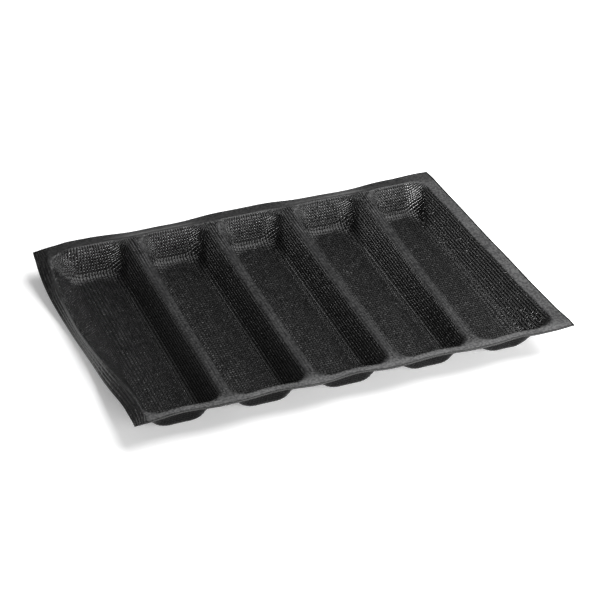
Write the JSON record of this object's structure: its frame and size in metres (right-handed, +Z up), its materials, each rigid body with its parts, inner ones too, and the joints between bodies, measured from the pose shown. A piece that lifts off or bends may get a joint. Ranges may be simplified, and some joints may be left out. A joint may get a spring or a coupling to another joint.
{
  "type": "baguette tray",
  "caption": "Flexible black bakery form moulded from silicone-coated open-mesh glass cloth, with parallel rounded troughs for baguettes, a flat flange all round and sealed edges.",
  "frame": {"origin": "centre of the bounding box at its base, on the surface that the trough floors stand on", "axes": "+X across the troughs to the right, +Y along the troughs to the back, +Z up out of the trough mouths"},
  "size_m": [0.6, 0.4, 0.0436],
  "materials": {
    "silicone_coat": "satin, pebbled by the open mesh under it",
    "glass_cloth": "open leno mesh of glass yarn, soaked black by the coating",
    "edge_silicone": "smooth satin bead"
  },
  "bodies": {
    "root": {"top_coat": "silicone_coat", "glass_cloth": "glass_cloth", "under_coat": "silicone_coat", "edge_seal_front": "edge_silicone", "edge_seal_back": "edge_silicone", "edge_seal_left": "edge_silicone", "edge_seal_right": "edge_silicone"}
  },
  "joints": []
}
